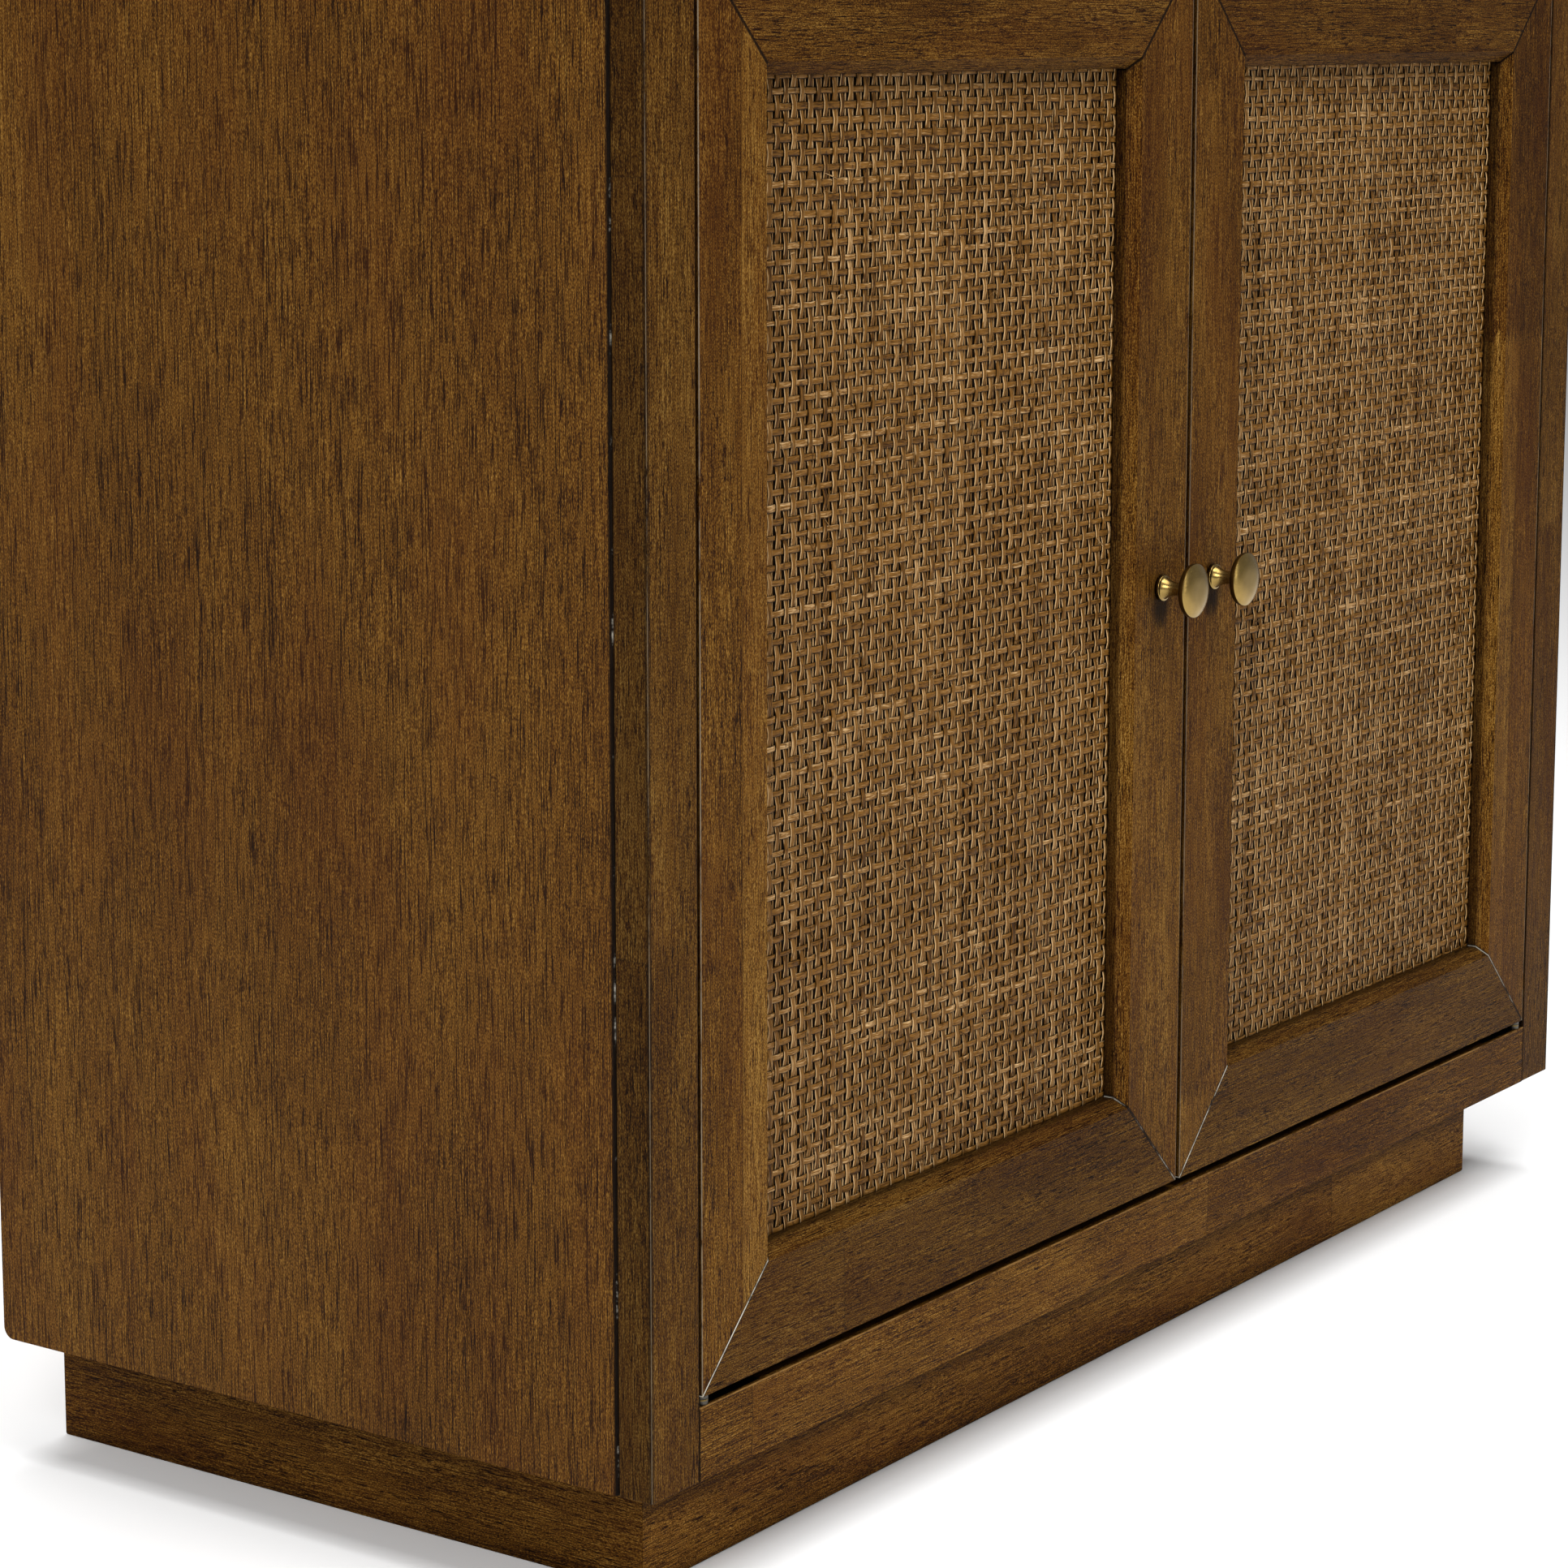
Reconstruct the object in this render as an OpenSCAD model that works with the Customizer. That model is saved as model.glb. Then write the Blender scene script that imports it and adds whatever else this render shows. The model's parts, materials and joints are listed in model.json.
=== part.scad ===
// Two-door storage cabinet with a face frame, mitred cane-front doors,
// pin hinges, adjustable shelves and a recessed plinth.
// Millimetres, +Z up. The origin is on the floor, at the middle of the
// overall width and depth (knobs included). The front faces -Y.

/* [Cabinet] */
// Overall width
cabinet_w = 900; // [800:10:1100]
// Overall height from the floor
cabinet_h = 780; // [720:1:900]
// Depth from the front of the face frame to the back
cabinet_d = 392; // [340:1:440]
// Thickness of the sides, the bottom and the partition
panel_t = 18; // [16:1:20]
// Thickness of the top panel
top_t = 22; // [18:1:28]
// Thickness of the back panel
back_t = 5; // [4:1:7]
// Width of the rabbet in each side that takes the back panel
back_rabbet_w = 9; // [6:1:10]
// Radius of the lower rear corner of each side
side_corner_r = 6; // [3:1:10]
// Size of the V-groove between side and face frame, on each piece
groove = 1.5; // [1:0.5:2.5]

/* [Face frame] */
// Width of the upright stiles
stile_w = 34.5; // [32:0.5:45]
// Height of the rails
rail_h = 33.5; // [32:0.5:45]
// Thickness of stiles and rails
frame_t = 19; // [19:1:22]

/* [Plinth] */
// Height of the carcass over the floor; the plinth boards run on up to the bottom panel
plinth_h = 60; // [45:1:80]
// Set-back of the plinth behind the front
plinth_front_in = 35; // [25:1:50]
// Set-back of the plinth from each side
plinth_side_in = 39; // [25:1:60]
// Thickness of the plinth boards
plinth_t = 18; // [15:1:20]
// Leg of each triangular corner block
corner_block = 45; // [30:5:60]

/* [Doors] */
// Gap above and below the doors
door_gap_z = 4.5; // [3.5:0.5:5]
// Gap between a door and its face-frame stile
door_gap_side = 2; // [2:0.5:3]
// Gap between the two doors
door_gap_mid = 4; // [2:0.5:4]
// Width of the door stiles and rails
door_member_w = 54.5; // [45:0.5:60]
// Chamfer along the inner front edge of the door frame
door_chamfer = 5.7; // [3:0.1:7]
// Distance from the door's front to the cane
cane_in = 11; // [9:0.5:12]
// Thickness of the woven cane sheet
cane_t = 2; // [1.5:0.5:2.5]
// Thickness of the board behind the cane
backing_t = 3; // [2.5:0.5:3]
// Width of the rabbet that holds cane, board and beads
door_rabbet_w = 9; // [7:1:11]

/* [Knobs] */
// Diameter of the knob's disc
knob_d = 27; // [22:1:32]
// How far the knob stands out of the door
knob_out = 22; // [18:1:26]
// Distance from the door's meeting edge to the knob's axis
knob_in = 24; // [20:1:28]

/* [Hinges] */
// Distance from the hinge axis to the door's outer edge and front
axis_in = 4; // [4:0.1:4.2]
// Radius of the hinge pin
pin_r = 2; // [1.8:0.1:2]
// Radial clearance of the pin in the door's leaf
pin_clear = 0.05; // [0.02:0.01:0.1]
// Thickness of the hinge leaves
leaf_t = 2; // [1.5:0.5:2.5]
// Length of the hinge leaves from the axis
leaf_l = 42; // [38:1:46]

/* [Shelves] */
// Thickness of the shelves
shelf_t = 15; // [12:1:18]
// Set-back of the shelves behind the front
shelf_front_in = 75; // [60:1:120]
// Radius of the shelf pins
shelf_pin_r = 2.5; // [2.5:0.5:3]
// Distance between the holes for the pins
hole_pitch = 32; // [25:1:40]

/* [Hidden] */
$fn = 48;

LEFT = -1;
RIGHT = 1;
LOWER = 1;
UPPER = 2;
frame_wood = "#6b431f";
panel_wood = "#70481f";
inner_wood = "#7a5530";
cane_colour = "#9a6f3c";
brass = "#b08d57";
steel = "#a8a8a8";
black = "#303030";

front_y = -(cabinet_d + knob_out) / 2 + knob_out;
back_y = front_y + cabinet_d;
body_top = cabinet_h - top_t;
inner_half_w = cabinet_w / 2 - panel_t;
floor_z = plinth_h + rail_h;
inner_h = body_top - floor_z;
inner_back_y = back_y - back_t;
partition_y = front_y + frame_t + 2;
plinth_x = cabinet_w / 2 - plinth_side_in;
plinth_y = front_y + plinth_front_in;
plinth_board_h = floor_z - panel_t;
cut = 0.5;

door_w = (cabinet_w - 2 * stile_w - 2 * door_gap_side - door_gap_mid) / 2;
door_h = body_top - rail_h - floor_z - 2 * door_gap_z;
door_x = -cabinet_w / 2 + stile_w + door_gap_side;
door_z = floor_z + door_gap_z;
panel_in = door_member_w - door_rabbet_w;
bead_t = frame_t - cane_in - cane_t - backing_t;
bead_w = door_rabbet_w - 1;
bead_joint = 0.2;

leaf_w = 10;
leaf_in = 2;
knuckle_r = 3.4;
washer_t = 0.7;
washer_play = 0.3;
boss_h = (door_gap_z - washer_t - washer_play) / 2;
screw_r = 1.4;
screw_head_r = 2.6;
screw_head_h = 1.4;
leaf_screw_l = 16;
leaf_screw_xs = [18, 36];

shelf_y = front_y + shelf_front_in;
shelf_d = inner_back_y - 2 - shelf_y;
shelf_w = inner_half_w - panel_t / 2 - 2;
pin_in = 8;
pin_end = 40;
pin_ys = [shelf_y + pin_end, shelf_y + shelf_d - pin_end];

catch_size = [14, 16, 40];
catch_z = door_z + door_h - 60;
catch_gap = 0.4;
strike_size = [12, 1, 36];
magnet_size = [8, 8, 20];

function shelf_z(level) = floor_z + level * inner_h / 3 - shelf_t / 2;

// Draws its children as they are for the left, mirrored for the right
module on_side(side) {
    if (side == LEFT) children();
    else mirror([1, 0, 0]) children();
}

// Moves from a door's own lower outer front corner to its place
module on_door(side) {
    on_side(side) translate([door_x, front_y, door_z]) children();
}

// Turns a door's lower end into its upper end, when top is true
module on_door_end(top) {
    if (top) translate([0, 0, door_h]) mirror([0, 0, 1]) children();
    else children();
}

// A countersunk screw: head face at z = 0, shank along +Z
module wood_screw(length) {
    cylinder(h = screw_head_h, r1 = screw_head_r, r2 = screw_r);
    cylinder(h = length, r = screw_r);
}

// An upright triangular prism that takes off a corner edge
module edge_cut(size, height) {
    linear_extrude(height) polygon([[-cut, -cut], [size + cut, -cut], [-cut, size + cut]]);
}

// ---- carcass ----

module pin_holes(x, direction) {
    for (level = [LOWER, UPPER], step = [-2:2], y = pin_ys)
        translate([x, y, shelf_z(level) - shelf_pin_r + step * hole_pitch])
            rotate([0, 90 * direction, 0]) translate([0, 0, -pin_in])
                cylinder(h = pin_in + cut, r = shelf_pin_r);
}

module side_outline(depth, height) {
    square([depth - side_corner_r, height]);
    translate([0, side_corner_r]) square([depth, height - side_corner_r]);
    translate([depth - side_corner_r, side_corner_r]) circle(side_corner_r);
}

module side_panel(side) {
    depth = cabinet_d - frame_t;
    color(panel_wood) on_side(side) difference() {
        translate([-cabinet_w / 2, front_y + frame_t, plinth_h]) difference() {
            rotate([90, 0, 90]) linear_extrude(panel_t) side_outline(depth, body_top - plinth_h);
            translate([0, 0, -cut]) edge_cut(groove, body_top);
            translate([panel_t - back_rabbet_w, depth - back_t, floor_z - panel_t - plinth_h])
                cube([panel_t, back_t + cut, body_top]);
        }
        pin_holes(-inner_half_w, 1);
    }
}

module face_frame_stile(side) {
    color(frame_wood) on_side(side) translate([-cabinet_w / 2, front_y, plinth_h]) difference() {
        cube([stile_w, frame_t, body_top - plinth_h]);
        translate([0, frame_t, -cut]) mirror([0, 1, 0]) edge_cut(groove, body_top);
    }
}

module leaf_outline() {
    translate([axis_in, axis_in]) circle(knuckle_r);
    translate([axis_in, leaf_in]) square([leaf_l, leaf_w]);
}

// Both leaf mortises of one rail, with the screws' pilot holes
module frame_leaf_mortises(top) {
    for (side = [LEFT, RIGHT]) on_door(side) on_door_end(top) {
        translate([0, 0, -door_gap_z - leaf_t]) linear_extrude(leaf_t + cut) leaf_outline();
        frame_leaf_screw_pair();
    }
}

module face_frame_rail(top) {
    color(frame_wood) difference() {
        translate([stile_w - cabinet_w / 2, front_y, top ? body_top - rail_h : plinth_h])
            cube([cabinet_w - 2 * stile_w, frame_t, rail_h]);
        frame_leaf_mortises(top);
    }
}

module top_panel() {
    color(panel_wood) translate([-cabinet_w / 2, front_y, body_top]) cube([cabinet_w, cabinet_d, top_t]);
}

module bottom_panel() {
    color(inner_wood) translate([-inner_half_w, front_y + frame_t, floor_z - panel_t])
        cube([2 * inner_half_w, inner_back_y - front_y - frame_t, panel_t]);
}

module back_screw_places() {
    half = inner_half_w + back_rabbet_w / 2;
    low = floor_z - panel_t / 2;
    for (side = [LEFT, RIGHT], step = [0:4])
        translate([side * half, back_y, low + 20 + step * (body_top - low - 40) / 4])
            rotate([90, 0, 0]) children();
    for (step = [-2:2])
        translate([step * half * 0.4, back_y, low]) rotate([90, 0, 0]) children();
}

module back_panel() {
    low = floor_z - panel_t;
    half = inner_half_w + back_rabbet_w;
    color(inner_wood) difference() {
        translate([-half, inner_back_y, low]) cube([2 * half, back_t, body_top - low]);
        back_screw_places() wood_screw(back_t + cut);
    }
}

// The screws stop at the back panel's inner face, where their pilot holes would start
module back_panel_screws() {
    color(steel) back_screw_places() wood_screw(back_t);
}

module centre_partition() {
    color(inner_wood) difference() {
        translate([-panel_t / 2, partition_y, floor_z])
            cube([panel_t, inner_back_y - partition_y, inner_h]);
        pin_holes(-panel_t / 2, -1);
        pin_holes(panel_t / 2, 1);
        catch_screw_pairs();
    }
}

module shelf(side, level) {
    color(inner_wood) on_side(side)
        translate([-inner_half_w + 1, shelf_y, shelf_z(level)]) cube([shelf_w, shelf_d, shelf_t]);
}

module shelf_pins() {
    color(steel)
        for (side = [LEFT, RIGHT], level = [LOWER, UPPER], y = pin_ys, x = [inner_half_w, panel_t / 2])
            translate([side * x, y, shelf_z(level) - shelf_pin_r])
                rotate([0, 90, 0]) translate([0, 0, -pin_in]) cylinder(h = 2 * pin_in, r = shelf_pin_r);
}

// ---- plinth ----

module plinth_front() {
    color(frame_wood) linear_extrude(plinth_board_h)
        polygon([[-plinth_x, plinth_y], [plinth_x, plinth_y],
            [plinth_x - plinth_t, plinth_y + plinth_t], [plinth_t - plinth_x, plinth_y + plinth_t]]);
}

module plinth_end(side) {
    color(frame_wood) on_side(side) linear_extrude(plinth_board_h)
        polygon([[-plinth_x, plinth_y], [plinth_t - plinth_x, plinth_y + plinth_t],
            [plinth_t - plinth_x, back_y], [-plinth_x, back_y]]);
}

module plinth_rear() {
    color(frame_wood) translate([plinth_t - plinth_x, back_y - plinth_t, 0])
        cube([2 * (plinth_x - plinth_t), plinth_t, plinth_board_h]);
}

module plinth_corner_blocks() {
    x = plinth_x - plinth_t;
    color(inner_wood) linear_extrude(plinth_board_h) for (side = [LEFT, RIGHT]) {
        polygon([[side * x, plinth_y + plinth_t], [side * (x - corner_block), plinth_y + plinth_t],
            [side * x, plinth_y + plinth_t + corner_block]]);
        polygon([[side * x, back_y - plinth_t], [side * (x - corner_block), back_y - plinth_t],
            [side * x, back_y - plinth_t - corner_block]]);
    }
}

// ---- hinges ----

module frame_leaf_screw_pair() {
    for (x = leaf_screw_xs)
        translate([x, leaf_in + leaf_w / 2, -door_gap_z]) mirror([0, 0, 1]) wood_screw(leaf_screw_l);
}

module door_leaf_screw_pair() {
    for (x = leaf_screw_xs)
        translate([x, leaf_in + leaf_w / 2, 0]) wood_screw(leaf_screw_l);
}

module frame_leaf(side, top) {
    color(steel) on_door(side) on_door_end(top) difference() {
        translate([0, 0, -door_gap_z]) {
            translate([0, 0, -leaf_t]) linear_extrude(leaf_t) leaf_outline();
            translate([axis_in, axis_in, -leaf_t]) cylinder(h = leaf_t + boss_h, r = knuckle_r);
        }
        translate([axis_in, axis_in, -door_gap_z - leaf_t - cut])
            cylinder(h = 2 * leaf_t + boss_h, r = pin_r);
        frame_leaf_screw_pair();
    }
}

module frame_leaf_screws() {
    color(steel) for (side = [LEFT, RIGHT], top = [false, true])
        on_door(side) on_door_end(top) frame_leaf_screw_pair();
}

module hinge_pins() {
    color(steel) for (side = [LEFT, RIGHT], top = [false, true]) on_door(side) on_door_end(top)
        translate([axis_in, axis_in, -door_gap_z - leaf_t])
            cylinder(h = door_gap_z + 2 * leaf_t, r = pin_r);
}

module hinge_washers() {
    color(brass) for (side = [LEFT, RIGHT], top = [false, true]) on_door(side) on_door_end(top)
        translate([axis_in, axis_in, boss_h - door_gap_z]) difference() {
            cylinder(h = washer_t, r = knuckle_r);
            translate([0, 0, -cut]) cylinder(h = washer_t + 2 * cut, r = pin_r);
        }
}

// The door's leaf and the pocket for its pin
module door_leaf(side, top) {
    color(steel) on_door(side) on_door_end(top) difference() {
        union() {
            linear_extrude(leaf_t) leaf_outline();
            translate([axis_in, axis_in, -boss_h]) cylinder(h = boss_h + leaf_t, r = knuckle_r);
        }
        translate([axis_in, axis_in, -boss_h - cut])
            cylinder(h = leaf_t + boss_h + 2 * cut, r = pin_r + pin_clear);
        door_leaf_screw_pair();
    }
}

module door_leaf_mortises() {
    for (top = [false, true]) on_door_end(top) {
        translate([0, 0, -cut]) linear_extrude(leaf_t + cut) leaf_outline();
        door_leaf_screw_pair();
    }
}

// ---- doors ----

// One mitred length of door frame along +X: outer edge at z = 0, front at y = 0
module door_member(length) {
    w = door_member_w;
    intersection() {
        rotate([90, 0, 90]) linear_extrude(length)
            polygon([[0, 0], [0, w - door_chamfer], [door_chamfer, w], [cane_in, w],
                [cane_in, w - door_rabbet_w], [frame_t, w - door_rabbet_w], [frame_t, 0]]);
        rotate([90, 0, 0]) translate([0, 0, -frame_t - cut]) linear_extrude(frame_t + 2 * cut)
            polygon([[0, 0], [length, 0], [length - w, w], [w, w]]);
    }
}

module door_outer_stile(side) {
    color(frame_wood) on_door(side) difference() {
        mirror([1, 0, 0]) rotate([0, -90, 0]) door_member(door_h);
        door_leaf_mortises();
    }
}

module door_meeting_stile(side) {
    color(frame_wood) on_door(side) difference() {
        translate([door_w, 0, 0]) rotate([0, -90, 0]) door_member(door_h);
        knob_place() knob_screw_shape();
        strike_place() strike_screw();
    }
}

module door_rail(side, top) {
    color(frame_wood) on_door(side) difference() {
        on_door_end(top) door_member(door_w);
        door_leaf_mortises();
    }
}

// A sheet that fills the door's rabbet between two depths
module door_sheet(depth, thickness) {
    translate([panel_in, depth, panel_in]) cube([door_w - 2 * panel_in, thickness, door_h - 2 * panel_in]);
}

module door_cane(side) {
    color(cane_colour) on_door(side) door_sheet(cane_in, cane_t);
}

module door_backing(side) {
    color(black) on_door(side) door_sheet(cane_in + cane_t, backing_t);
}

module door_beads(side) {
    y = frame_t - bead_t;
    bead_h = door_h - 2 * panel_in;
    color(inner_wood) on_door(side) {
        for (x = [panel_in, door_w - panel_in - bead_w])
            translate([x, y, panel_in]) cube([bead_w, bead_t, bead_h]);
        for (z = [panel_in, door_h - panel_in - bead_w])
            translate([panel_in + bead_w + bead_joint, y, z])
                cube([door_w - 2 * (panel_in + bead_w + bead_joint), bead_t, bead_w]);
    }
}

// ---- knobs ----

module knob_place() {
    translate([door_w - knob_in, 0, door_h / 2]) rotate([90, 0, 0]) children();
}

// Half section of the knob: radius, height over the door
module knob_section() {
    disc_r = knob_d / 2;
    dome_h = 3;
    dome_r = (disc_r * disc_r + dome_h * dome_h) / (2 * dome_h);
    collar_h = 3;
    difference() {
        union() {
            square([6.5, collar_h]);
            polygon([[0, collar_h], [6.1, collar_h], [4.6, 5.5], [3.7, 8.5], [3.5, 12], [4, 15],
                [6, knob_out - 5], [0, knob_out - 5]]);
            translate([0, knob_out - 5]) square([disc_r, 2]);
            intersection() {
                translate([0, knob_out - dome_h]) square([disc_r, dome_h]);
                translate([0, knob_out - dome_r]) circle(dome_r, $fn = 180);
            }
        }
        translate([-dome_r, 0]) square([dome_r, knob_out]);
    }
}

module knob_screw_shape() {
    translate([0, 0, -frame_t]) cylinder(h = frame_t + 9, r = 2);
    translate([0, 0, -frame_t]) cylinder(h = 2.5, r = 4);
}

module knob(side) {
    color(brass) on_door(side) knob_place() difference() {
        rotate_extrude() knob_section();
        knob_screw_shape();
    }
}

module knob_screw(side) {
    color(steel) on_door(side) knob_place() knob_screw_shape();
}

// ---- magnetic catches ----

// Moves to the middle of the catch's front face, on the left of the partition
module catch_place(side) {
    on_side(side)
        translate([-(panel_t + catch_size.x) / 2, front_y + frame_t + strike_size.y + catch_gap, catch_z])
            children();
}

// Moves to the middle of the strike plate, on the door's back
module strike_place() {
    translate([-(panel_t + catch_size.x) / 2 - door_x, frame_t, catch_z - door_z]) children();
}

module box_on_front(size) {
    translate([-size.x / 2, 0, -size.z / 2]) cube(size);
}

module catch_screw_pairs() {
    for (side = [LEFT, RIGHT], z = [-15, 15]) catch_place(side)
        translate([-catch_size.x / 2, 11, z]) rotate([0, 90, 0]) wood_screw(catch_size.x + 7);
}

module catch(side) {
    color(black) difference() {
        catch_place(side) box_on_front(catch_size);
        catch_place(side) translate([0, -cut, 0]) box_on_front(magnet_size + [0, cut, 0]);
        catch_screw_pairs();
    }
}

module catch_magnets() {
    color(steel) for (side = [LEFT, RIGHT]) catch_place(side) box_on_front(magnet_size);
}

module catch_screws() {
    color(steel) catch_screw_pairs();
}

module strike_screw() {
    translate([0, strike_size.y, 0]) rotate([90, 0, 0]) wood_screw(13);
}

module strike_plate(side) {
    color(steel) on_door(side) strike_place() difference() {
        box_on_front(strike_size);
        strike_screw();
    }
}

module door_screws(side) {
    color(steel) on_door(side) {
        for (top = [false, true]) on_door_end(top) door_leaf_screw_pair();
        strike_place() strike_screw();
    }
}

side_panel(LEFT);  // side_panel_left
side_panel(RIGHT);  // side_panel_right
face_frame_stile(LEFT);  // face_frame_stile_left
face_frame_stile(RIGHT);  // face_frame_stile_right
face_frame_rail(true);  // face_frame_top_rail
face_frame_rail(false);  // face_frame_bottom_rail
top_panel();
bottom_panel();
back_panel();
back_panel_screws();
centre_partition();
shelf(LEFT, LOWER);  // shelf_left_lower
shelf(LEFT, UPPER);  // shelf_left_upper
shelf(RIGHT, LOWER);  // shelf_right_lower
shelf(RIGHT, UPPER);  // shelf_right_upper
shelf_pins();
plinth_front();
plinth_rear();
plinth_end(LEFT);  // plinth_left
plinth_end(RIGHT);  // plinth_right
plinth_corner_blocks();
frame_leaf(LEFT, false);  // frame_leaf_left_bottom
frame_leaf(LEFT, true);  // frame_leaf_left_top
frame_leaf(RIGHT, false);  // frame_leaf_right_bottom
frame_leaf(RIGHT, true);  // frame_leaf_right_top
hinge_pins();
hinge_washers();
frame_leaf_screws();
catch(LEFT);  // catch_left
catch(RIGHT);  // catch_right
catch_magnets();
catch_screws();
door_outer_stile(LEFT);  // door_left_outer_stile
door_meeting_stile(LEFT);  // door_left_meeting_stile
door_rail(LEFT, true);  // door_left_top_rail
door_rail(LEFT, false);  // door_left_bottom_rail
door_cane(LEFT);  // door_left_cane
door_backing(LEFT);  // door_left_backing
door_beads(LEFT);  // door_left_beads
knob(LEFT);  // door_left_knob
knob_screw(LEFT);  // door_left_knob_screw
door_leaf(LEFT, false);  // door_left_leaf_bottom
door_leaf(LEFT, true);  // door_left_leaf_top
strike_plate(LEFT);  // door_left_strike
door_screws(LEFT);  // door_left_screws
door_outer_stile(RIGHT);  // door_right_outer_stile
door_meeting_stile(RIGHT);  // door_right_meeting_stile
door_rail(RIGHT, true);  // door_right_top_rail
door_rail(RIGHT, false);  // door_right_bottom_rail
door_cane(RIGHT);  // door_right_cane
door_backing(RIGHT);  // door_right_backing
door_beads(RIGHT);  // door_right_beads
knob(RIGHT);  // door_right_knob
knob_screw(RIGHT);  // door_right_knob_screw
door_leaf(RIGHT, false);  // door_right_leaf_bottom
door_leaf(RIGHT, true);  // door_right_leaf_top
strike_plate(RIGHT);  // door_right_strike
door_screws(RIGHT);  // door_right_screws
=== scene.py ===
"""Looks of a two-door cabinet with cane-front doors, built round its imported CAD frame."""
import json
import math

import bpy
import numpy as np
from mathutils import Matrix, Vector


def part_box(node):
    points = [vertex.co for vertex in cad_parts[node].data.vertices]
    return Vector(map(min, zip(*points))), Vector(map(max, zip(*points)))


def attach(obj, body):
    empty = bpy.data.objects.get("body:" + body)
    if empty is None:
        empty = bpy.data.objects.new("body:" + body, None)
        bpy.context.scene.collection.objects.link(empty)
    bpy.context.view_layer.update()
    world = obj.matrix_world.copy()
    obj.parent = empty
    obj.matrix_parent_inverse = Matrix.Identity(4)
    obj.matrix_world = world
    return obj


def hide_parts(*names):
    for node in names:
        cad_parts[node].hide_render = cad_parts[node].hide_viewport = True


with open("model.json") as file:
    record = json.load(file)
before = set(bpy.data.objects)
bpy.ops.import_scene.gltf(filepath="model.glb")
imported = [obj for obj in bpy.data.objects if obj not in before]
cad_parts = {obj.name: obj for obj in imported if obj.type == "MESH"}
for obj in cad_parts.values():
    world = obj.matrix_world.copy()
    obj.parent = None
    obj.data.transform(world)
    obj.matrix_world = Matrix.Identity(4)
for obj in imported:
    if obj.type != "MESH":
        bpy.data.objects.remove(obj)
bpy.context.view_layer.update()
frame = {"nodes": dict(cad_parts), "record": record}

MM = 0.001
LEFT, RIGHT = "left", "right"
SIDES = (LEFT, RIGHT)


# ---------------------------------------------------------------- camera, floor and light

CAMERA_PLACE = (-1.7785, -1.1916, 0.6883)
CAMERA_HEADING = 35.21
CAMERA_PITCH = -9.12
CAMERA_LENS = 93.46
CAMERA_SHIFT = -0.07
FLOOR_HALF = 12.0
FLOOR_Z = -0.2 * MM                # just under the plinth, so that the two don't flicker
LIGHTS_AIM = (0.0, 0.0, 0.4)
# name: place, width and height, power
LIGHTS = {
    "high_front": ((-0.25, -1.7, 3.0), (1.0, 1.0), 46.0),
    "low_front": ((0.6, -3.0, 0.95), (0.28, 1.7), 7.0),
    "side": ((-2.8, -1.0, 1.9), (1.3, 1.3), 62.0),
    "top": ((0.0, 0.1, 3.2), (2.6, 2.6), 120.0),
}
WORLD_STRENGTH = 0.34


def direction(heading, pitch):
    """Unit vector: heading in degrees from +X towards +Y, pitch above the horizon."""
    h, p = math.radians(heading), math.radians(pitch)
    return Vector((math.cos(h) * math.cos(p), math.sin(h) * math.cos(p), math.sin(p)))


def make_camera():
    data = bpy.data.cameras.new("camera")
    data.lens = CAMERA_LENS
    data.sensor_width = 36.0
    data.shift_y = CAMERA_SHIFT
    data.clip_end = 50.0
    camera = bpy.data.objects.new("camera", data)
    camera.location = CAMERA_PLACE
    camera.rotation_mode = "QUATERNION"
    camera.rotation_quaternion = direction(CAMERA_HEADING, CAMERA_PITCH).to_track_quat("-Z", "Y")
    bpy.context.scene.collection.objects.link(camera)
    bpy.context.scene.camera = camera


def make_floor():
    signs = ((-1, -1), (1, -1), (1, 1), (-1, 1))
    mesh = bpy.data.meshes.new("floor")
    mesh.from_pydata([(x * FLOOR_HALF, y * FLOOR_HALF, FLOOR_Z) for x, y in signs], [], [(0, 1, 2, 3)])
    floor = bpy.data.objects.new("floor", mesh)
    bpy.context.scene.collection.objects.link(floor)
    material = bpy.data.materials.new("floor")
    material.use_nodes = True
    shader = material.node_tree.nodes["Principled BSDF"]
    shader.inputs["Base Color"].default_value = (0.9, 0.9, 0.9, 1.0)
    shader.inputs["Roughness"].default_value = 0.7
    mesh.materials.append(material)


def area_light(name, place, size, power):
    data = bpy.data.lights.new(name, "AREA")
    data.shape = "RECTANGLE"
    data.size, data.size_y = size
    data.energy = power
    light = bpy.data.objects.new(name, data)
    light.location = place
    light.rotation_mode = "QUATERNION"
    light.rotation_quaternion = (Vector(LIGHTS_AIM) - Vector(place)).to_track_quat("-Z", "Y")
    bpy.context.scene.collection.objects.link(light)


def make_lights():
    for name, settings in LIGHTS.items():
        area_light(name, *settings)
    world = bpy.data.worlds.new("studio")
    world.use_nodes = True
    background = world.node_tree.nodes["Background"]
    background.inputs["Color"].default_value = (1.0, 1.0, 1.0, 1.0)
    background.inputs["Strength"].default_value = WORLD_STRENGTH
    bpy.context.scene.world = world
    bpy.context.scene.view_settings.view_transform = "Standard"


make_camera()
make_floor()
make_lights()


# ---------------------------------------------------------------- shader helpers


def linear(hex_colour):
    """A colour such as "5c3c1b" as linear red, green, blue and alpha."""
    parts = [int(hex_colour[i:i + 2], 16) / 255.0 for i in (0, 2, 4)]
    return tuple(c / 12.92 if c <= 0.04045 else ((c + 0.055) / 1.055) ** 2.4 for c in parts) + (1.0,)


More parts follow.
